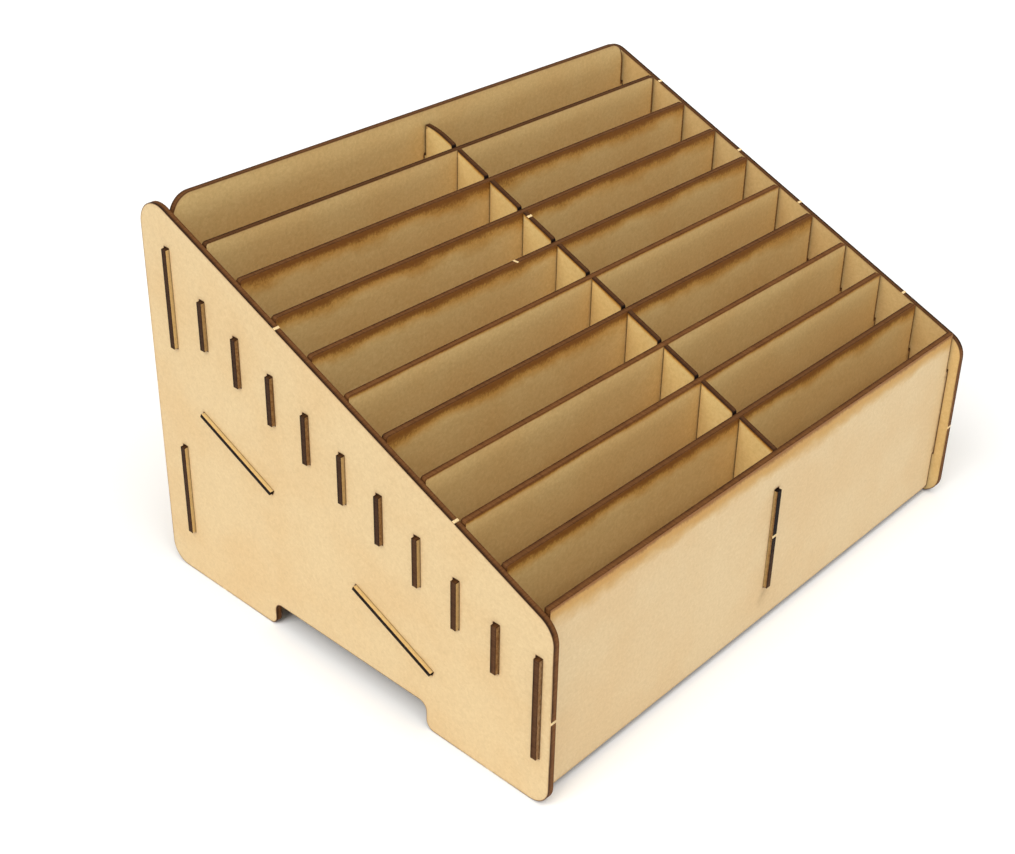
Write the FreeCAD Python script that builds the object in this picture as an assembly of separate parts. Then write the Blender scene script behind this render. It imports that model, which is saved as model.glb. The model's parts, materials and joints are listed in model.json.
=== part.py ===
"""Sloped slotted organiser, made as a flat-pack of laser-cut fibreboard.

Two side panels carry a front panel, a back panel, a sloped floor and nine
cross dividers on tabs that pass right through closed slots and stand proud
of the outer faces. A lengthwise centre divider is half-lapped with the nine
cross dividers and splits each row in two.

Frame: +Z up, X across the width, Y from the low front (-Y) to the tall back
(+Y). The origin is on the ground, under the middle of the whole object.
"""
import FreeCAD, Part
import math
import os

# Overall sizes, millimetres
WIDTH = 308.0            # over the outer faces of the two side panels
DEPTH = 240.0            # front edge to rear edge of a side panel
BOARD = 3.0              # thickness of every board but the floor
FLOOR_BOARD = 2.0        # thickness of the floor
TAB_PROUD = 1.8          # how far a tab stands out of the far face
FIT = 0.1                # clearance on every side of a tab in its slot
TAB_TOP_GAP = 0.4        # clearance over a tab's upper end
END_GAP = 0.6            # board end to the inner face of a side panel

# Side panel outline
SIDE_FRONT_HEIGHT = 88.8     # sloped top line carried on to the front edge
SIDE_REAR_HEIGHT = 195.1     # sloped top line carried on to the rear edge
SIDE_TOP_RADIUS = 12.0
SIDE_BOTTOM_RADIUS = 10.0
RECESS_FRONT = 67.8          # foot recess, distances from the front edge
RECESS_REAR = 164.0
RECESS_HEIGHT = 12.8
RECESS_FOOT_RADIUS = 4.5
RECESS_TOP_RADIUS = 4.0

# Cross boards: distance of the front face from the side panels' front edge
FRONT_PANEL_AT = 5.6
BACK_PANEL_AT = 221.2
DIVIDER_COUNT = 9
FIRST_DIVIDER_AT = 27.6
DIVIDER_PITCH = 21.46

# Front panel
FRONT_BOTTOM = 3.7
FRONT_TOP = 93.7
FRONT_TABS = [(23.5, 72.6)]
FRONT_CENTRE_TAB = (22.0, 74.5)

# Back panel
BACK_BOTTOM = 3.7
BACK_TOP = 192.5
BACK_CORNER_RADIUS = 10.0
BACK_END_GAP = 0.8
BACK_TABS = [(23.5, 70.4), (121.8, 169.7)]
BACK_CENTRE_TAB = (121.8, 169.7)

# Cross dividers, heights measured down from the divider's own top edge
DIVIDER_CORNER_RADIUS = 1.5
DIVIDER_TAB_LOW = 49.4
DIVIDER_TAB_HIGH = 26.2

# Sloped floor: upper surface, straight below the sloped top line
FLOOR_DROP = 84.7
FLOOR_TABS = [(63.5, 109.0), (160.4, 206.0)]     # distances from the front

# Centre divider
CENTRE_RISE = 1.1            # its top edge above the sloped top line
CENTRE_REAR_RADIUS = 40.0    # where the top edge levels out before the back panel
CENTRE_REAR_RUN = 7.0        # length of the levelled part
CENTRE_REAR_RISE = 0.6       # its rise
CENTRE_REAR_GAP = 0.5        # rear end to the back panel
LAP_GAP = 0.3                # uphill clearance of a divider in its lap slot
LAP_RADIUS = 1.8             # uphill corner at the mouth of a lap slot

SLOPE = (SIDE_REAR_HEIGHT - SIDE_FRONT_HEIGHT) / DEPTH
SLOPE_ANGLE = math.atan(SLOPE)
INNER_HALF = WIDTH / 2 - BOARD
TAB_TIP = WIDTH / 2 + TAB_PROUD


def slope_z(distance):
    """Height of the sloped top line at a distance from the front edge."""
    return SIDE_FRONT_HEIGHT + SLOPE * distance


def floor_z(distance):
    """Height of the floor's upper surface at a distance from the front."""
    return slope_z(distance) - FLOOR_DROP


def at_x(x):
    """Place (distance from front, height) on the upright plane at x."""
    return lambda u, v: FreeCAD.Vector(x, u - DEPTH / 2, v)


def at_distance(distance):
    """Place (x, height) on the upright plane at a distance from the front."""
    return lambda u, v: FreeCAD.Vector(u, distance - DEPTH / 2, v)


def on_floor(lift):
    """Place (x, distance from front) on the floor's slope, lifted off it."""
    y_shift = -lift * math.sin(SLOPE_ANGLE) - DEPTH / 2
    z_shift = lift * math.cos(SLOPE_ANGLE)
    return lambda u, v: FreeCAD.Vector(u, v + y_shift, floor_z(v) + z_shift)


def corner_points(before, corner, after):
    """Start, middle and end of the arc that rounds one outline corner."""
    here = FreeCAD.Vector(corner[0], corner[1], 0)
    back = (FreeCAD.Vector(before[0], before[1], 0) - here).normalize()
    ahead = (FreeCAD.Vector(after[0], after[1], 0) - here).normalize()
    radius = corner[2]
    if radius == 0:
        return [here]
    half_angle = back.getAngle(ahead) / 2
    inward = (back + ahead).normalize()
    reach = radius / math.tan(half_angle)
    start = here + back * reach
    middle = here + inward * (radius / math.sin(half_angle) - radius)
    end = here + ahead * reach
    return [start, middle, end]


def outline_face(corners, place):
    """Flat face from (u, v, radius) corners taken round in order."""
    rounds = []
    for index, corner in enumerate(corners):
        after = corners[(index + 1) % len(corners)]
        rounds.append(corner_points(corners[index - 1], corner, after))
    edges = []
    for index, points in enumerate(rounds):
        spots = [place(point.x, point.y) for point in points]
        if len(spots) == 3:
            edges.append(Part.Arc(spots[0], spots[1], spots[2]).toShape())
        following = rounds[(index + 1) % len(rounds)][0]
        run_end = place(following.x, following.y)
        if spots[-1].distanceToPoint(run_end) > 1e-6:
            edges.append(Part.makeLine(spots[-1], run_end))
    return Part.Face(Part.Wire(edges))


def tab_corners(edge, tip, start, end):
    """Corners of a tab that runs out from an edge to its tip and back."""
    return [(edge, start, 0), (tip, start, 0), (tip, end, 0), (edge, end, 0)]


def cross_outline(half, low, high, top_radius, tabs):
    """Outline of a board that spans the sides, with tabs on both ends."""
    right = [(half, low, 0)]
    for start, end in tabs:
        right += tab_corners(half, TAB_TIP, start, end)
    right.append((half, high, top_radius))
    left = [(-u, v, radius) for u, v, radius in reversed(right)]
    return right + left


def block(x_range, distance_range, z_range):
    """Upright block between two values on each axis."""
    size = [high - low for low, high in (x_range, distance_range, z_range)]
    corner = FreeCAD.Vector(x_range[0], distance_range[0] - DEPTH / 2, z_range[0])
    return Part.makeBox(size[0], size[1], size[2], corner)


def cross_board(front_face, corners):
    """Upright board across the width from its outline."""
    face = outline_face(corners, at_distance(front_face))
    return face.extrude(FreeCAD.Vector(0, BOARD, 0))


def divider_face(index):
    """Distance of a divider's front face from the front edge."""
    return FIRST_DIVIDER_AT + index * DIVIDER_PITCH


def divider_top(index):
    """Divider top edge: it meets the sloped top line at its rear face."""
    return slope_z(divider_face(index) + BOARD)


def divider_bottom(index):
    """Divider bottom edge: it rests on the floor along its rear face."""
    return floor_z(divider_face(index) + BOARD)


def lap_height(index):
    """Height where the divider and the centre divider meet in their lap."""
    return (divider_top(index) + divider_bottom(index)) / 2


def divider_tab(index):
    """Low and high end of the tab on each end of a divider."""
    top = divider_top(index)
    return (top - DIVIDER_TAB_LOW, top - DIVIDER_TAB_HIGH)


def divider(index):
    """Cross divider with one tab an end and a lap slot open downwards."""
    low = divider_bottom(index)
    high = divider_top(index)
    half = INNER_HALF - END_GAP
    tabs = [divider_tab(index)]
    corners = cross_outline(half, low, high, DIVIDER_CORNER_RADIUS, tabs)
    front = divider_face(index)
    slot_half = BOARD / 2 + FIT
    slot_top = lap_height(index) + FIT
    slot = block((-slot_half, slot_half), (front - 1, front + BOARD + 1), (low - 1, slot_top))
    return cross_board(front, corners).cut(slot)


def centre_slot(front, heights):
    """Closed slot through a cross panel for a tab of the centre divider."""
    slot_half = BOARD / 2 + FIT
    reach = (front - 1, front + BOARD + 1)
    return block((-slot_half, slot_half), reach, (heights[0] - FIT, heights[1] + TAB_TOP_GAP))


def front_panel():
    """Low square-cornered panel near the front edge."""
    half = INNER_HALF - END_GAP
    corners = cross_outline(half, FRONT_BOTTOM, FRONT_TOP, 0, FRONT_TABS)
    board = cross_board(FRONT_PANEL_AT, corners)
    return board.cut(centre_slot(FRONT_PANEL_AT, FRONT_CENTRE_TAB))


def back_panel():
    """Tall panel near the rear edge with rounded top corners."""
    half = INNER_HALF - BACK_END_GAP
    corners = cross_outline(half, BACK_BOTTOM, BACK_TOP, BACK_CORNER_RADIUS, BACK_TABS)
    board = cross_board(BACK_PANEL_AT, corners)
    return board.cut(centre_slot(BACK_PANEL_AT, BACK_CENTRE_TAB))


def floor_panel():
    """Sloped floor from the front panel to the back panel."""
    half = INNER_HALF - END_GAP
    lean = FLOOR_BOARD * math.sin(SLOPE_ANGLE)
    low = FRONT_PANEL_AT + BOARD + FIT
    high = BACK_PANEL_AT - lean - FIT
    corners = cross_outline(half, low, high, 0, FLOOR_TABS)
    face = outline_face(corners, on_floor(-FLOOR_BOARD))
    rise = on_floor(0)(0, 0) - on_floor(-FLOOR_BOARD)(0, 0)
    return face.extrude(rise)


def centre_top(distance):
    """Height of the centre divider's top edge."""
    return slope_z(distance) + CENTRE_RISE


def lap_corners(index):
    """Corners of one lap slot in the centre divider, open upwards."""
    downhill = divider_face(index) - FIT
    uphill = divider_face(index) + BOARD + LAP_GAP
    lap = lap_height(index) - FIT
    return [
        (downhill, centre_top(downhill), 0),
        (downhill, lap, 0),
        (uphill, lap, 0),
        (uphill, centre_top(uphill), LAP_RADIUS),
    ]


def centre_divider():
    """Lengthwise divider with lap slots open upwards and a tab at each end."""
    front = FRONT_PANEL_AT + BOARD + FIT
    rear = BACK_PANEL_AT - CENTRE_REAR_GAP
    turn = rear - CENTRE_REAR_RUN
    front_tip = FRONT_PANEL_AT - TAB_PROUD
    rear_tip = BACK_PANEL_AT + BOARD + TAB_PROUD
    corners = [(front, floor_z(front) + FIT, 0)]
    corners += tab_corners(front, front_tip, FRONT_CENTRE_TAB[0], FRONT_CENTRE_TAB[1])
    corners.append((front, centre_top(front), 0))
    for index in range(DIVIDER_COUNT):
        corners += lap_corners(index)
    corners.append((turn, centre_top(turn), CENTRE_REAR_RADIUS))
    corners.append((rear, centre_top(turn) + CENTRE_REAR_RISE, 0))
    corners += tab_corners(rear, rear_tip, BACK_CENTRE_TAB[1], BACK_CENTRE_TAB[0])
    corners.append((rear, floor_z(rear) + FIT, 0))
    face = outline_face(corners, at_x(-BOARD / 2))
    return face.extrude(FreeCAD.Vector(BOARD, 0, 0))


def side_slots(x_range):
    """Cutters for every closed slot in one side panel."""
    cutters = []
    for front, tabs in ((FRONT_PANEL_AT, FRONT_TABS), (BACK_PANEL_AT, BACK_TABS)):
        for low, high in tabs:
            reach = (front - FIT, front + BOARD + FIT)
            cutters.append(block(x_range, reach, (low - FIT, high + TAB_TOP_GAP)))
    for index in range(DIVIDER_COUNT):
        front = divider_face(index)
        low, high = divider_tab(index)
        reach = (front - FIT, front + BOARD + FIT)
        cutters.append(block(x_range, reach, (low - FIT, high + TAB_TOP_GAP)))
    slope_fit = FIT * math.cos(SLOPE_ANGLE)
    for near, far in FLOOR_TABS:
        corners = [(x_range[0], near - slope_fit, 0), (x_range[1], near - slope_fit, 0)]
        corners += [(x_range[1], far + slope_fit, 0), (x_range[0], far + slope_fit, 0)]
        face = outline_face(corners, on_floor(-FLOOR_BOARD - FIT))
        rise = on_floor(FIT)(0, 0) - on_floor(-FLOOR_BOARD - FIT)(0, 0)
        cutters.append(face.extrude(rise))
    return cutters


def side_panel(inner_x, outer_x):
    """Side panel: sloped top, rounded corners, foot recess, tab slots."""
    low_x = min(inner_x, outer_x)
    corners = [
        (0, 0, SIDE_BOTTOM_RADIUS),
        (RECESS_FRONT, 0, RECESS_FOOT_RADIUS),
        (RECESS_FRONT, RECESS_HEIGHT, RECESS_TOP_RADIUS),
        (RECESS_REAR, RECESS_HEIGHT, RECESS_TOP_RADIUS),
        (RECESS_REAR, 0, RECESS_FOOT_RADIUS),
        (DEPTH, 0, SIDE_BOTTOM_RADIUS),
        (DEPTH, SIDE_REAR_HEIGHT, SIDE_TOP_RADIUS),
        (0, SIDE_FRONT_HEIGHT, SIDE_TOP_RADIUS),
    ]
    face = outline_face(corners, at_x(low_x))
    board = face.extrude(FreeCAD.Vector(BOARD, 0, 0))
    return board.cut(side_slots((low_x - 1, low_x + BOARD + 1)))


def single_solid(shape):
    """The one solid of a cut result, in place of its compound."""
    if len(shape.Solids) != 1:
        raise ValueError("expected one solid, got %d" % len(shape.Solids))
    return shape.Solids[0]


def main():
    """Write one STEP file for each board."""
    boards = {
        "side_panel_left": side_panel(-INNER_HALF, -WIDTH / 2),
        "side_panel_right": side_panel(INNER_HALF, WIDTH / 2),
        "front_panel": front_panel(),
        "back_panel": back_panel(),
        "floor_panel": floor_panel(),
        "centre_divider": centre_divider(),
    }
    for index in range(DIVIDER_COUNT):
        boards["divider_%d" % (index + 1)] = divider(index)
    os.makedirs("parts", exist_ok=True)
    for node, board in boards.items():
        solid = single_solid(board)
        solid.exportStep("parts/%s.step" % node)
        box = solid.BoundBox
        print(node, solid.isValid(), round(solid.Volume, 1),
              [round(value, 2) for value in (box.XMin, box.YMin, box.ZMin, box.XMax, box.YMax, box.ZMax)])


main()
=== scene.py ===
"""Looks for the sloped slotted organiser: laser-cut fibreboard sheets.

Every board is rebuilt from its CAD node as a clean sheet with eased arrises,
laser-cut walls and a fine face mesh that knows how far each point is from
the nearest cut, so that the burn marks follow the cuts. A board's own frame
has u along the board, v up it and w through it, in mm.
"""
import json
import math
import random

import bpy
import numpy as np
from mathutils import Matrix, Vector
from mathutils.geometry import delaunay_2d_cdt


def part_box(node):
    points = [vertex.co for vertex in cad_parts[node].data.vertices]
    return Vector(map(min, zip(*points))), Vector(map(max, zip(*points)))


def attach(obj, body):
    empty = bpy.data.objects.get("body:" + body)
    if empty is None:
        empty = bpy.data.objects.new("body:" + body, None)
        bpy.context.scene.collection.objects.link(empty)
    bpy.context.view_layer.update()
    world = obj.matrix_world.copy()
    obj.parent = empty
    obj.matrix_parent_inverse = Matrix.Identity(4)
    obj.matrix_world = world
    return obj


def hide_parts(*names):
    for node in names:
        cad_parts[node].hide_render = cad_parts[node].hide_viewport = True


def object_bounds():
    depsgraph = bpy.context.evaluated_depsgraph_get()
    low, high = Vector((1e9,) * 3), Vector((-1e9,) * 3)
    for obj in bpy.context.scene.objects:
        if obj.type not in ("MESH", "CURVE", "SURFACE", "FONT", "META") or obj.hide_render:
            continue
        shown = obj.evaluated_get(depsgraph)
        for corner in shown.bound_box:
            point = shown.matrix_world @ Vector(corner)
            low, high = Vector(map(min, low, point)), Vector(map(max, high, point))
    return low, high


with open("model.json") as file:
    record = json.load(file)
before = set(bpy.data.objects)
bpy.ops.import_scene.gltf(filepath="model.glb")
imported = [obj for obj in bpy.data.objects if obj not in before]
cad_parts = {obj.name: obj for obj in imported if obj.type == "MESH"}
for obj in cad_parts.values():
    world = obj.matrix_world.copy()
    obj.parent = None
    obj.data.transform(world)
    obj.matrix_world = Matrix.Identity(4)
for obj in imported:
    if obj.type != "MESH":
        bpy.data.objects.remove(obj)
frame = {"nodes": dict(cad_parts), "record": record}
cad_box = [list(corner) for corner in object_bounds()]

MM = 0.001
ARRIS = 0.16                                   # eased edge of a sheet, mm
WALL_HOLLOW = 0.035                            # how far a cut wall is hollow halfway through, mm
SHARP_TURN = 26                                # edges that turn more than this stay sharp, degrees
CENTRE_RISE = 1.1                              # centre divider above the dividers' line, mm
DIVIDERS = sorted(name for name in frame["nodes"] if name.startswith("divider_"))
OUTER, WALL, TORN, INNER = range(4)            # places in a board's list of materials

# Where the panels' faces lie from the middle, mm
SIDE_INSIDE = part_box("side_panel_right")[0].x / MM
SIDE_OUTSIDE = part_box("side_panel_right")[1].x / MM
FRONT_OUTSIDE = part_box("front_panel")[0].y / MM

# Mesh points of a face: rows beside the cuts as (distance, spacing), then a plain grid, mm
RINGS = [(0.35, 1.6), (0.8, 1.8), (1.5, 2.2), (2.6, 2.8), (4.2, 3.6), (6.5, 5.0), (10.0, 8.0)]
GRID = 16.0
CLOSE_RINGS = 2.0                              # rows nearer than this also surround the bridges
NEAREST = 0.3                                  # least distance of those rows' points from a cut
ROW_SLACK = 0.93                               # least distance of the other rows, as a share

# How deep smoke marks reach under the top edge, about 1 for the deepest:
# (front face, rear face), or (right face, left face) of the centre divider
SMOKE = {
    "front_panel": (1.15, 0.45), "back_panel": (0.0, 0.3),
    "divider_1": (1.0, 0.4), "divider_2": (0.3, 0.5), "divider_3": (0.1, 0.3),
    "divider_4": (1.05, 0.4), "divider_5": (0.2, 0.6), "divider_6": (0.9, 0.3),
    "divider_7": (1.05, 0.4), "divider_8": (1.1, 0.5), "divider_9": (0.05, 0.4),
    "centre_divider": (0.1, 0.2),
}
HAZE_DEPTH = 10.5                              # reach of the pale haze where a smoke mark is 1, mm
SCORCH_DEPTH = 5.4                             # reach of the dark scorch there, mm
FRONT_SCORCH = 0.5                             # the front panel's scorch is this much shorter

# How brown the smoke left the tabs, and how black the laser left the cut walls
TAB_SMOKE = {name: min(max(depths[0], 0.4), 0.9) for name, depths in SMOKE.items()}
TAB_SMOKE.update({"front_panel": 0.85, "divider_9": 0.6, "centre_divider": 0.8, "back_panel": 0.1})
TAB_FADE = 0.4                                 # the tabs' brown starts within this length, mm
TAB_END_CHAR = {"front_panel": 0.55, "divider_1": 0.55, "divider_2": 0.65, "divider_3": 0.65}
REAR_TAB_CHAR = 0.8                            # least char of the other boards' tab ends
WALL_CHAR = {"centre_divider": 0.6, "back_panel": 0.35, "floor_panel": 1.0, "divider_9": 0.55,
             "front_panel": 0.2, "side_panel_left": 0.25, "side_panel_right": 0.5}
PLAIN_CHAR = 0.1                               # char of the walls that stayed brown
OUTER_CHAR = 0.5                               # added at the outer arris of a side panel's top
# How much wider the dark line beside a cross board's +X end cut is, mm: char, and painted shade of the
# joint with the side panel
END_CHAR_AND_SHADE = {name: 1.0 for name in DIVIDERS}
END_CHAR_AND_SHADE.update({"back_panel": 1.5, "divider_9": 1.5, "front_panel": 0.8})

# Uncut bridges that held a board in its sheet: (edge, place along it, how proud), mm
NICKS = {
    "side_panel_left": [
        ("top", -67.7, 0.22), ("top", 33.5, 0.22),
        ("low", 44.3, 0.0), ("bottom", -88.0, 0.0), ("bottom", 82.0, 0.0), ("high", 96.0, 0.0)],
    "side_panel_right": [
        ("top", -83.7, 0.22), ("top", -18.2, 0.22), ("top", 21.6, 0.22), ("top", 76.4, 0.22),
        ("low", 41.1, 0.0), ("bottom", -88.0, 0.0), ("bottom", 82.0, 0.0), ("high", 96.0, 0.0)],
    "centre_divider": [("top", 33.4, 0.15), ("low", 50.3, 0.0)],
    "front_panel": [("bottom", -90.0, 0.0), ("bottom", 88.0, 0.0)],
    "back_panel": [("bottom", -96.0, 0.0), ("bottom", 92.0, 0.0)],
    "floor_panel": [("bottom", 60.0, 0.0), ("top", -70.0, 0.0)],
    "divider_6": [("top", -28.0, 0.05)],
}
NICK_HEAD = 0.52                               # half width of a snapped bridge at its top, mm
NICK_FOOT = 0.68                               # half width at its foot
NICK_MATCH = 0.62                              # walls whose middle is this near a bridge are torn
NICK_PALE = 0.65                               # reach of the pale spot that a bridge left on the faces
NICK_EDGE = 0.95                               # where the pale spot ends


# ---------------------------------------------------------------- outlines

def board_axes(name):
    """Unit vectors along, up and through a board, right-handed."""
    if name.startswith("side_panel") or name == "centre_divider":
        along, up = Vector((0, 1, 0)), Vector((0, 0, 1))
        return along, up, along.cross(up)
    along = Vector((1, 0, 0))
    if name == "floor_panel":
        faces = frame["nodes"][name].data.polygons
        largest = max(faces, key=lambda face: face.area * (face.normal.z > 0.3))
        through = largest.normal.normalized()
        return along, through.cross(along), through
    return along, Vector((0, 0, 1)), along.cross(Vector((0, 0, 1)))


def outline_loops(node, axes):
    """Loops of a board's face in mm, material on the left, and its two offsets."""
    world = node.matrix_world
    turned = Matrix(axes) @ world.to_3x3()
    shift = Matrix(axes) @ world.translation
    flat = [(turned @ vert.co + shift) / MM for vert in node.data.vertices]
    low = min(point.z for point in flat)
    high = max(point.z for point in flat)
    spots = {}
    keys = [spots.setdefault((round(p.x, 2), round(p.y, 2)), len(spots)) for p in flat]
    places = {keys[index]: (point.x, point.y) for index, point in enumerate(flat)}
    edges = set()
    for face in node.data.polygons:
        if all(high - flat[index].z < 0.01 for index in face.vertices):
            ring = [keys[index] for index in face.vertices]
            edges.update(zip(ring, ring[1:] + ring[:1]))
    following = {a: b for a, b in edges if (b, a) not in edges}
    loops = []
    while following:
        start, spot = next(iter(following.items()))
        loop = [start]
        del following[start]
        while spot != start:
            loop.append(spot)
            spot = following.pop(spot)
        loops.append(straightened(np.array([places[index] for index in loop])))
    return loops, low, high


def straightened(loop):
    """The loop without the points that lie on a straight run."""
    before = loop - np.roll(loop, 1, axis=0)
    after = np.roll(loop, -1, axis=0) - loop
    cross = before[:, 0] * after[:, 1] - before[:, 1] * after[:, 0]
    bend = np.abs(cross) / (np.linalg.norm(before, axis=1) * np.linalg.norm(after, axis=1))
    return loop[bend > 1e-3]


def crossing(loops, edge, place):
    """Loop, segment and point where an outer edge passes a place along it."""
    axis = 0 if edge in ("top", "bottom") else 1
    best = None
    for number, loop in enumerate(loops):
        for index in range(len(loop)):
            a, b = loop[index], loop[(index + 1) % len(loop)]
            if (a[axis] - place) * (b[axis] - place) >= 0:
                continue
            spot = a + (b - a) * (place - a[axis]) / (b[axis] - a[axis])
            rank = spot[1 - axis] * (1 if edge in ("top", "high") else -1)
            if best is None or rank > best[0]:
                best = (rank, number, index, spot, (b - a) / np.linalg.norm(b - a))
    return best[1:]


def with_nicks(loops, nicks):
    """Loops with each bridge's corners added, and the bridges' places."""
    marks = []
    for edge, place, proud in nicks:
        number, index, spot, run = crossing(loops, edge, place)
        outward = np.array([run[1], -run[0]]) * proud
        corners = [spot - run * NICK_FOOT, spot - run * NICK_HEAD + outward,
                   spot + run * NICK_HEAD + outward, spot + run * NICK_FOOT]
        loops[number] = np.insert(loops[number], index + 1, corners, axis=0)
        marks.append(spot)
    return loops, np.array(marks).reshape(-1, 2)


def inset(loop, amount):
    """The loop moved into the material by an amount."""
    run = np.roll(loop, -1, axis=0) - loop
    run /= np.linalg.norm(run, axis=1)[:, None]
    side = np.stack([-run[:, 1], run[:, 0]], axis=1)
    earlier = np.roll(side, 1, axis=0)
    return loop + amount * (side + earlier) / (1 + (side * earlier).sum(axis=1))[:, None]


def distances(points, loops):
    """Distance from every point to the nearest cut."""
    best = np.full(len(points), 1e9)
    for loop in loops:
        for a, b in zip(loop, np.roll(loop, -1, axis=0)):
            run = b - a
            share = np.clip(((points - a) @ run) / (run @ run), 0, 1)
            best = np.minimum(best, np.linalg.norm(points - a - share[:, None] * run, axis=1))
    return best


def inside(points, loops):
    """True for points in the material."""
    odd = np.zeros(len(points), bool)
    for loop in loops:
        for a, b in zip(loop, np.roll(loop, -1, axis=0)):
            if a[1] == b[1]:
                continue
            spans = (a[1] > points[:, 1]) != (b[1] > points[:, 1])
            cut = a[0] + (points[:, 1] - a[1]) * (b[0] - a[0]) / (b[1] - a[1])
            odd ^= spans & (points[:, 0] < cut)
    return odd


def face_points(loops, marks):
    """Points inside a board's face, close together near its cuts."""
    found = []
    around = np.linspace(0, math.tau, 12, endpoint=False)
    circle = np.stack([np.cos(around), np.sin(around)], axis=1)
    for depth, pitch in RINGS:
        ring = []
        for loop in loops:
            moved = inset(loop, depth)
            for a, b, c, d in zip(moved, np.roll(moved, -1, axis=0), loop, np.roll(loop, -1, axis=0)):
                if (b - a) @ (d - c) <= 0:
                    continue
                count = max(1, int(np.linalg.norm(b - a) / pitch))
                ring.extend(a + (b - a) * step / count for step in range(count))
        if depth < CLOSE_RINGS:
            for mark in marks:
                for reach in (0.45, 0.8, 1.3):
                    ring.extend(mark + reach * circle)
        ring = np.array(ring)
        least = NEAREST if depth < CLOSE_RINGS else depth * ROW_SLACK
        found.append(ring[inside(ring, loops) & (distances(ring, loops) > least)])
    low = np.min([loop.min(axis=0) for loop in loops], axis=0)
    high = np.max([loop.max(axis=0) for loop in loops], axis=0)
    across = np.arange(low[0] + GRID / 2, high[0], GRID)
    upward = np.arange(low[1] + GRID / 2, high[1], GRID)
    grid = np.array([(u, v) for u in across for v in upward])
    grid = grid[inside(grid, loops)]
    grid = grid[distances(grid, loops) > RINGS[-1][0] * 1.1]
    return np.concatenate(found + [grid])


# ------------------------------------------------------------------ boards

def triangulated(loops, marks):
    """Points, triangles and each loop's rim indices of a board's face."""
    rims = [inset(loop, ARRIS) for loop in loops]
    spots = [Vector(point) for rim in rims for point in rim]
    edges, rings, start = [], [], 0
    for rim in rims:
        ring = list(range(start, start + len(rim)))
        edges += list(zip(ring, ring[1:] + ring[:1]))
        rings.append(ring)
        start += len(rim)
    extra = face_points(loops, marks)
    seen = {(round(p.x, 2), round(p.y, 2)) for p in spots}
    for point in extra:
        key = (round(point[0], 2), round(point[1], 2))
        if key not in seen:
            seen.add(key)
            spots.append(Vector(point))
    made = delaunay_2d_cdt(spots, edges, [], 0, 1e-5, True)
    placed = {old: new for new, olds in enumerate(made[3]) for old in olds}
    rings = [[placed[index] for index in ring] for ring in rings]
    points = np.array(made[0])
    triangles = np.array(made[2])
    triangles = triangles[inside(points[triangles].mean(axis=1), rims)]
    return points, triangles.tolist(), rings


def torn_runs(loop, marks):
    """True for each segment of a loop that belongs to a snapped bridge."""
    if not len(marks):
        return [False] * len(loop)
    middles = (loop + np.roll(loop, -1, axis=0)) / 2
    gaps = np.linalg.norm(middles[:, None] - marks[None], axis=2)
    return (gaps.min(axis=1) < NICK_MATCH).tolist()


def sheet_shape(loops, marks, low, high, high_is_outer):
    """A closed board: its points, faces, each face's material, and where the walls' points start."""
    points, triangles, rings = triangulated(loops, marks)
    count = len(points)
    spots = [(u, v, high) for u, v in points] + [(u, v, low) for u, v in points]
    faces = [tuple(face) for face in triangles]
    faces += [tuple(count + index for index in reversed(face)) for face in triangles]
    kinds = [OUTER if high_is_outer else INNER] * len(triangles)
    kinds += [INNER if high_is_outer else OUTER] * len(triangles)
    for loop, ring in zip(loops, rings):
        start, size = len(spots), len(loop)
        spots += [(u, v, high - ARRIS) for u, v in loop]
        spots += [(u, v, (low + high) / 2) for u, v in inset(loop, WALL_HOLLOW)]
        spots += [(u, v, low + ARRIS) for u, v in loop]
        bands = [ring]
        bands += [list(range(start + size * row, start + size * (row + 1))) for row in range(3)]
        bands.append([count + index for index in ring])
        torn = torn_runs(loop, marks)
        for upper, lower in zip(bands, bands[1:]):
            for i in range(size):
                j = (i + 1) % size
                faces.append((lower[i], lower[j], upper[j], upper[i]))
                kinds.append(TORN if torn[i] else WALL)
    return np.array(spots), faces, kinds, 2 * count


def easing(values, none, full):
    """0 at one value and 1 at another, straight between them and level beyond."""
    return np.clip((values - none) / (full - none), 0, 1)


def top_depth(name, points):
    """Depth of each point under a board's top edge, in mm."""
    if name == "floor_panel":
        far_below = 99.0
        return np.full(len(points), far_below)
    if name.startswith("side_panel") or name == "centre_divider":
        low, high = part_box("divider_1"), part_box(DIVIDERS[-1])
        slope = (high[1].z - low[1].z) / (high[1].y - low[1].y)
        line = low[1].z / MM + slope * (points[:, 0] - low[1].y / MM)
        if name == "centre_divider":
            line = line + CENTRE_RISE
        return np.maximum(line - points[:, 1], 0) / math.hypot(1, slope)
    return np.maximum(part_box(name)[1].z / MM - points[:, 1], 0)


def cut_distance(name, flat, loops, marks, walls_from, depth):
    """Distance to the nearest cut, less where the char spread and where painted shade darkens a joint,
    and more where the char stayed away.
    """
    along = flat[:, 0]
    cut = distances(flat[:, :2], loops)
    cut[walls_from:] = 0
    if len(marks):
        gap = np.min(np.linalg.norm(flat[:, None, :2] - marks[None], axis=2), axis=1)
        cut = cut + 1.2 * easing(gap, NICK_EDGE, NICK_PALE)
    # The +X end's dark line is widened: char, and painted shade of the joint with the side panel.
    if name in END_CHAR_AND_SHADE:
        at_right = easing(along, SIDE_INSIDE - 4, SIDE_INSIDE)
        at_left = easing(along, 2 - SIDE_INSIDE, -SIDE_INSIDE)
        cut = np.maximum(cut - END_CHAR_AND_SHADE[name] * at_right, 0) + 0.8 * at_left
    if name == "floor_panel":
        cut = cut + 1.1 * (np.abs(along) > SIDE_INSIDE)
    if name == "back_panel":
        # The dark line beside the centre divider's slot in the back panel: char, and painted shade of
        # the joint.
        beside_slot = easing(np.abs(along), 6, 0) * ((depth > 22) & (depth < 75))
        cut = np.maximum(cut - 0.9 * beside_slot, 0)
    return cut


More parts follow.
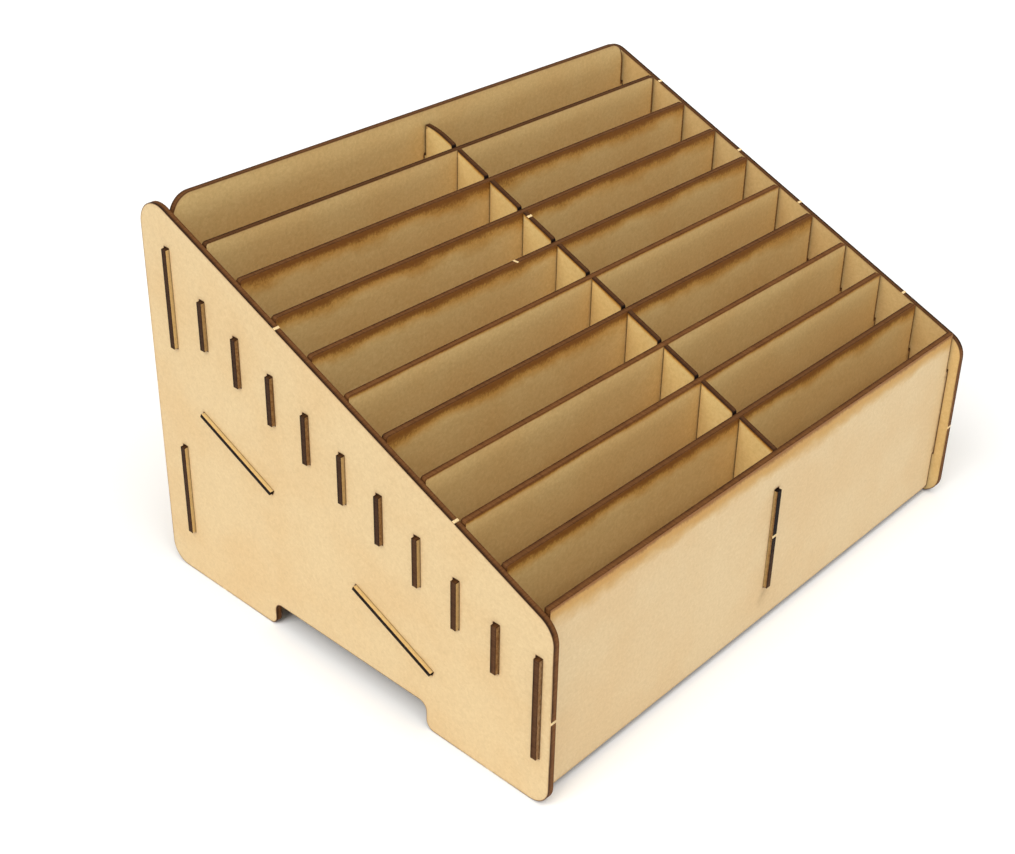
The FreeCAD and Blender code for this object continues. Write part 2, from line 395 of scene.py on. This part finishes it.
def tab_smoke(name, along, upward):
    """How brown the smoke left the tabs, and how brown a patch on the front panel at the foot of its
    slot is.
    """
    if name == "centre_divider":
        return TAB_SMOKE[name] * easing(along, FRONT_OUTSIDE, FRONT_OUTSIDE - TAB_FADE)
    brown = TAB_SMOKE.get(name, 0.0) * easing(np.abs(along), SIDE_INSIDE, SIDE_INSIDE + TAB_FADE)
    if name == "front_panel":
        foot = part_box("floor_panel")[0].z / MM + 11
        brown_patch = np.exp(-((along + 0.8) / 2.5) ** 2 - ((upward - foot) / 5) ** 2)
        brown = np.maximum(brown, 0.4 * brown_patch)
    return brown


def wall_char_and_shade(name, along, depth, outward):
    """How black the walls are: the laser's char, and painted shade on the centre divider's lap walls;
    outward is 1 at a board's outer or rear arris.
    """
    front_smoke = SMOKE.get(name, (0.0, 0.0))[0]
    char_and_shade = np.full(len(along), WALL_CHAR.get(name, PLAIN_CHAR + 0.2 * front_smoke))
    if name.startswith("side_panel"):
        on_top = depth < 3
        return np.where(on_top, char_and_shade + OUTER_CHAR * easing(outward, 0.5, 0.9), PLAIN_CHAR)
    if name == "centre_divider":
        behind_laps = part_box(DIVIDERS[-1])[1].y / MM + 3
        # The lap walls are made fully black: char, and painted shade in the lap joints.
        in_laps = (depth > 0.3) & (depth < 60) & (along < behind_laps)
        return np.where(in_laps, 1.0, char_and_shade)
    at_end = np.maximum(char_and_shade, TAB_END_CHAR.get(name, REAR_TAB_CHAR))
    return np.where(np.abs(along) > SIDE_OUTSIDE, at_end, char_and_shade)


def mark_board(mesh, name, flat, loops, marks, walls_from):
    """Stores on each point what the materials need to know about cuts and smoke."""
    rng = random.Random(name)
    offset = np.array([rng.uniform(0, 900), rng.uniform(0, 900), 0.0])
    along, upward, through = flat.T
    share = (through - through.min()) / np.ptp(through)
    outward = share if name == "side_panel_right" else 1 - share
    depth = top_depth(name, flat[:, :2])
    smoke = np.where(share > 0.5, *SMOKE.get(name, (0.0, 0.0)))
    store(mesh, "cut", cut_distance(name, flat, loops, marks, walls_from, depth))
    store(mesh, "depth", depth)
    store(mesh, "smoke", smoke)
    store(mesh, "singe", smoke * (FRONT_SCORCH if name == "front_panel" else 1.0))
    store(mesh, "tab", tab_smoke(name, along, upward))
    store(mesh, "char_and_shade", wall_char_and_shade(name, along, depth, outward))
    store(mesh, "across", outward)
    grain = mesh.attributes.new("grain", "FLOAT_VECTOR", "POINT")
    grain.data.foreach_set("vector", (flat + offset).ravel())


def make_board(name, materials):
    """One board as a closed mesh of two faces and laser-cut walls."""
    axes = board_axes(name)
    loops, low, high = outline_loops(frame["nodes"][name], axes)
    loops, marks = with_nicks(loops, NICKS.get(name, []))
    high_is_outer = name in ("side_panel_right", "front_panel")
    flat, faces, kinds, walls_from = sheet_shape(loops, marks, low, high, high_is_outer)
    mesh = bpy.data.meshes.new(name + "_board")
    mesh.from_pydata((flat @ np.array(axes) * MM).tolist(), [], faces)
    mesh.validate()
    for material in materials:
        mesh.materials.append(material)
    mesh.polygons.foreach_set("material_index", kinds)
    mesh.polygons.foreach_set("use_smooth", [True] * len(faces))
    mesh.set_sharp_from_angle(angle=math.radians(SHARP_TURN))
    mark_board(mesh, name, flat, loops, marks, walls_from)

    board = bpy.data.objects.new(name + "_sheet", mesh)
    bpy.context.scene.collection.objects.link(board)
    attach(board, "root")
    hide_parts(name)


def store(mesh, name, values):
    """Saves one number a vertex under a name that the materials read."""
    attribute = mesh.attributes.new(name, "FLOAT", "POINT")
    attribute.data.foreach_set("value", np.asarray(values, dtype=np.float32))


# --------------------------------------------------------------- materials

def linear(red, green, blue):
    """Scene colour of a display colour given as 0 to 255."""
    values = [channel / 255 for channel in (red, green, blue)]
    return [v / 12.92 if v <= 0.04045 else ((v + 0.055) / 1.055) ** 2.4 for v in values] + [1.0]


class Shader:
    """A material with short calls for its nodes."""

    def __init__(self, name):
        self.material = bpy.data.materials.new(name)
        self.material.use_nodes = True
        self.tree = self.material.node_tree
        self.bsdf = self.tree.nodes["Principled BSDF"]

    def link(self, value, socket):
        if isinstance(value, bpy.types.NodeSocket):
            self.tree.links.new(value, socket)
        else:
            socket.default_value = value

    def attribute(self, name, vector=False):
        node = self.tree.nodes.new("ShaderNodeAttribute")
        node.attribute_name = name
        return node.outputs["Vector" if vector else "Fac"]

    def math(self, operation, a, b=0.0, clamp=False):
        node = self.tree.nodes.new("ShaderNodeMath")
        node.operation = operation
        node.use_clamp = clamp
        self.link(a, node.inputs[0])
        self.link(b, node.inputs[1])
        return node.outputs[0]

    def times(self, *values):
        product = values[0]
        for value in values[1:]:
            product = self.math("MULTIPLY", product, value)
        return product

    def scaled(self, vector, scale):
        node = self.tree.nodes.new("ShaderNodeVectorMath")
        node.operation = "MULTIPLY"
        self.link(vector, node.inputs[0])
        node.inputs[1].default_value = scale
        return node.outputs[0]

    def noise(self, vector, scale, detail=3.0, roughness=0.55, distortion=0.0):
        node = self.tree.nodes.new("ShaderNodeTexNoise")
        self.link(vector, node.inputs["Vector"])
        node.inputs["Scale"].default_value = scale
        node.inputs["Detail"].default_value = detail
        node.inputs["Roughness"].default_value = roughness
        node.inputs["Distortion"].default_value = distortion
        return node.outputs["Fac"]

    def steps(self, value, low, high, out_low=0.0, out_high=1.0):
        node = self.tree.nodes.new("ShaderNodeMapRange")
        node.interpolation_type = "SMOOTHSTEP"
        self.link(value, node.inputs["Value"])
        self.link(low, node.inputs["From Min"])
        self.link(high, node.inputs["From Max"])
        node.inputs["To Min"].default_value = out_low
        node.inputs["To Max"].default_value = out_high
        return node.outputs["Result"]

    def ramp(self, value, stops):
        node = self.tree.nodes.new("ShaderNodeValToRGB")
        self.link(value, node.inputs["Fac"])
        ramp = node.color_ramp
        while len(ramp.elements) < len(stops):
            ramp.elements.new(0.5)
        for element, (place, colour) in zip(ramp.elements, stops):
            element.position = place
            element.color = colour
        return node.outputs["Color"]

    def mix(self, share, a, b, blend="MIX"):
        node = self.tree.nodes.new("ShaderNodeMix")
        node.data_type = "RGBA"
        node.blend_type = blend
        self.link(share, node.inputs["Factor"])
        self.link(a, node.inputs[6])
        self.link(b, node.inputs[7])
        return node.outputs[2]

    def bump(self, height, strength, distance):
        node = self.tree.nodes.new("ShaderNodeBump")
        node.inputs["Strength"].default_value = strength
        node.inputs["Distance"].default_value = distance
        self.link(height, node.inputs["Height"])
        self.link(node.outputs["Normal"], self.bsdf.inputs["Normal"])


def smoked(s, grain, colour, burn):
    """A face's colour with haze and scorch under the top edge and brown tabs, and the scorch's share."""
    depth = s.attribute("depth")
    wander = s.noise(s.scaled(grain, (0.04, 0.06, 1.0)), 1.0, 4.0, 0.6)
    drip = s.noise(s.scaled(grain, (0.95, 0.70, 1.0)), 1.0, 4.0, 0.68)
    broad = s.steps(wander, 0.30, 0.70, 0.7, 1.25)
    haze_reach = s.math("MAXIMUM", s.times(s.attribute("smoke"), broad, HAZE_DEPTH), 0.4)
    hazed = s.steps(s.math("DIVIDE", depth, haze_reach), 0.3, 1.0, 1.0, 0.0)
    colour = s.mix(hazed, colour, linear(230, 204, 150), "MULTIPLY")
    swell = s.times(broad, s.steps(drip, 0.28, 0.72, 0.75, 1.25))
    scorch_reach = s.math("MAXIMUM", s.times(s.attribute("singe"), swell, SCORCH_DEPTH), 0.3)
    scorched = s.steps(s.math("DIVIDE", depth, scorch_reach), 0.3, 1.0, 1.0, 0.0)
    colour = s.mix(scorched, colour, burn, "MULTIPLY")
    browned = s.math("MULTIPLY", s.attribute("tab"), s.steps(drip, 0.3, 0.7, 0.8, 1.15), clamp=True)
    return s.mix(browned, colour, linear(118, 78, 38)), scorched


def charred(s, grain, colour, scorched):
    """A face's colour with the amber rim and the dark line beside each cut."""
    ragged = s.noise(grain, 0.55, 3.0, 0.6)
    near = s.math("ADD", s.attribute("cut"), s.times(ragged, 0.25))
    amber = s.times(s.steps(near, 0.3, 2.4, 1.0, 0.0), s.steps(ragged, 0.3, 0.7, 0.0, 0.24))
    colour = s.mix(amber, colour, linear(196, 140, 74), "MULTIPLY")
    unscorched = s.math("SUBTRACT", 1.0, s.times(scorched, 0.8))
    line = s.times(s.steps(near, 0.30, 0.85, 0.92, 0.0), unscorched)
    return s.mix(line, colour, linear(98, 60, 27))


def face_material(name, dark, mid, light, burn=linear(168, 142, 100)):
    """Smooth pressed face of raw fibreboard, smoked along its laser cuts."""
    s = Shader(name)
    grain = s.attribute("grain", vector=True)
    fibre = s.noise(grain, 0.62, 5.0, 0.68, 0.6)
    fleck = s.noise(s.scaled(grain, (1.0, 1.7, 1.0)), 2.6, 2.0, 0.6)
    cloud = s.noise(grain, 0.028, 3.0, 0.5)
    colour = s.ramp(fibre, [(0.25, dark), (0.5, mid), (0.75, light)])
    colour = s.mix(s.steps(fleck, 0.60, 0.78, 0.0, 0.13), colour, linear(150, 104, 56))
    colour = s.mix(s.steps(cloud, 0.35, 0.7, 0.0, 0.16), colour, linear(236, 196, 130), "MULTIPLY")
    colour, scorched = smoked(s, grain, colour, burn)
    s.link(charred(s, grain, colour, scorched), s.bsdf.inputs["Base Color"])
    s.link(s.steps(fibre, 0.2, 0.8, 0.52, 0.70), s.bsdf.inputs["Roughness"])
    s.bsdf.inputs["Specular IOR Level"].default_value = 0.32
    s.bump(s.math("ADD", fibre, s.times(fleck, 0.5)), 0.35, 0.00012)
    return s.material


def cut_material(name):
    """Laser-cut wall: blackest at the outer or rear arris, browner inside, striated."""
    s = Shader(name)
    grain = s.attribute("grain", vector=True)
    stripes = s.noise(s.scaled(grain, (1.0, 1.0, 0.06)), 2.4, 3.0, 0.6)
    patches = s.noise(grain, 0.16, 3.0, 0.6)
    from_palest = s.math("ABSOLUTE", s.math("SUBTRACT", s.attribute("across"), 0.36))
    patchy = s.times(s.math("SUBTRACT", patches, 0.5), 0.7)
    shade = s.math("SUBTRACT", s.times(from_palest, 1.55), patchy)
    colour = s.ramp(shade, [(0.15, linear(127, 82, 42)), (0.5, linear(110, 69, 32)),
                            (0.75, linear(90, 53, 21)), (0.95, linear(68, 39, 13))])
    colour = s.mix(s.steps(stripes, 0.3, 0.7, 0.0, 0.45), colour, linear(130, 104, 84), "MULTIPLY")
    # Char, and painted shade in the centre divider's laps, darken the wall.
    colour = s.mix(s.attribute("char_and_shade"), colour, linear(58, 46, 40), "MULTIPLY")
    s.link(colour, s.bsdf.inputs["Base Color"])
    s.link(s.steps(stripes, 0.2, 0.8, 0.62, 0.82), s.bsdf.inputs["Roughness"])
    s.bsdf.inputs["Specular IOR Level"].default_value = 0.15
    s.bump(stripes, 0.5, 0.00015)
    return s.material


def nick_material():
    """Pale torn fibre where a bridge to the sheet was snapped."""
    s = Shader("torn_fibre")
    grain = s.attribute("grain", vector=True)
    tufts = s.noise(s.scaled(grain, (1.0, 1.0, 0.4)), 3.5, 3.0, 0.7)
    colour = s.ramp(tufts, [(0.3, linear(196, 158, 104)), (0.65, linear(246, 222, 170))])
    s.link(colour, s.bsdf.inputs["Base Color"])
    s.link(s.steps(tufts, 0.2, 0.8, 0.75, 0.95), s.bsdf.inputs["Roughness"])
    s.bump(tufts, 0.6, 0.0002)
    return s.material


def floor_material():
    """Plain pale studio floor."""
    s = Shader("studio_floor")
    place = s.tree.nodes.new("ShaderNodeTexCoord").outputs["Object"]
    cloud = s.noise(place, 1.5, 2.0)
    colour = s.ramp(cloud, [(0.3, (0.93, 0.93, 0.925, 1)), (0.7, (0.95, 0.95, 0.945, 1))])
    s.link(colour, s.bsdf.inputs["Base Color"])
    s.bsdf.inputs["Roughness"].default_value = 0.9
    s.bsdf.inputs["Specular IOR Level"].default_value = 0.1
    return s.material


# ------------------------------------------------------------------- stage

def make_floor():
    """Large round floor just under the feet."""
    sides, radius = 96, 8.0
    height = cad_box[0][2] - 0.0002
    turns = [math.tau * index / sides for index in range(sides)]
    verts = [(0, 0, height)]
    verts += [(radius * math.cos(turn), radius * math.sin(turn), height) for turn in turns]
    faces = [(0, 1 + index, 1 + (index + 1) % sides) for index in range(sides)]
    mesh = bpy.data.meshes.new("studio_floor")
    mesh.from_pydata(verts, [], faces)
    mesh.materials.append(floor_material())
    floor = bpy.data.objects.new("studio_floor", mesh)
    bpy.context.scene.collection.objects.link(floor)


def direction(azimuth, elevation):
    """Unit vector towards a place on the sky; azimuth 0 is the front, 90 the left."""
    a, e = math.radians(azimuth), math.radians(elevation)
    return Vector((-math.sin(a) * math.cos(e), -math.cos(a) * math.cos(e), math.sin(e)))


def soft_sun(name, azimuth, elevation, spread, strength):
    """Even light from one side of the sky, with soft-edged shadows."""
    light = bpy.data.lights.new(name, "SUN")
    light.angle = math.radians(spread)
    light.energy = strength
    light.color = (1, 0.985, 0.96)
    lamp = bpy.data.objects.new(name, light)
    lamp.rotation_mode = "QUATERNION"
    lamp.rotation_quaternion = (-direction(azimuth, elevation)).to_track_quat("-Z", "Y")
    bpy.context.scene.collection.objects.link(lamp)


def make_world(strength):
    """Even pale surroundings."""
    world = bpy.data.worlds.new("studio")
    world.use_nodes = True
    shade = world.node_tree.nodes["Background"]
    shade.inputs["Color"].default_value = (1.0, 0.995, 0.98, 1)
    shade.inputs["Strength"].default_value = strength
    bpy.context.scene.world = world


def make_camera(aim, azimuth, elevation, roll, distance, lens, shift_y):
    """Camera on an orbit round the aim point, with a slight roll."""
    back = direction(azimuth, elevation)
    data = bpy.data.cameras.new("camera")
    data.lens = lens
    data.sensor_width = 36
    data.shift_y = shift_y
    data.clip_start, data.clip_end = 0.01, 50
    camera = bpy.data.objects.new("camera", data)
    camera.location = Vector(aim) + back * distance
    camera.rotation_mode = "QUATERNION"
    turn = Matrix.Rotation(math.radians(roll), 3, back)
    camera.rotation_quaternion = turn.to_quaternion() @ (-back).to_track_quat("-Z", "Y")
    bpy.context.scene.collection.objects.link(camera)
    bpy.context.scene.camera = camera


def tones(dark, mid, light):
    """Three scene colours of one pressed face."""
    return linear(*dark), linear(*mid), linear(*light)


# Lit and shaded copies of one fibreboard: the outer faces' paler tones are painted light, the inner
# faces' browner, more saturated tones are painted shade.
FRONT = tones((208, 183, 140), (217, 192, 149), (225, 202, 160))
PALE = tones((202, 176, 132), (212, 186, 141), (220, 196, 151))
SHADED_TAN = tones((203, 173, 114), (214, 184, 126), (223, 195, 139))
YELLOW = tones((219, 189, 122), (230, 201, 135), (238, 211, 148))
SHADED_GOLDEN = tones((200, 168, 108), (212, 180, 120), (222, 193, 134))

golden = face_material("shaded_golden_face", *SHADED_GOLDEN)
yellow = face_material("yellow_face", *YELLOW)
front = face_material("lit_front_face", *FRONT, burn=linear(194, 168, 142))
faces_of = {                                   # (outer face, inner face)
    "side_board": (face_material("lit_pale_face", *PALE), face_material("shaded_tan_face", *SHADED_TAN)),
    "front_board": (front, golden),
    "inner_board": (golden, golden),
    "centre_board": (yellow, yellow),
}
wall, torn = cut_material("laser_cut_wall"), nick_material()
for part in frame["record"]["subparts"]:
    look = "front_board" if part["node"] == "floor_panel" else part["material_slot"]
    outer, inner = faces_of[look]
    make_board(part["node"], [outer, wall, torn, inner])

make_floor()
make_world(0.45)
soft_sun("key", azimuth=15, elevation=62, spread=50, strength=1.6)
soft_sun("side", azimuth=92, elevation=45, spread=40, strength=1.7)
make_camera(aim=(-0.02148, 0.02625, 0.09935), azimuth=47.824, elevation=28.864, roll=1.132,
            distance=0.7368, lens=55.283, shift_y=-0.0788)
bpy.context.scene.view_settings.view_transform = "Standard"
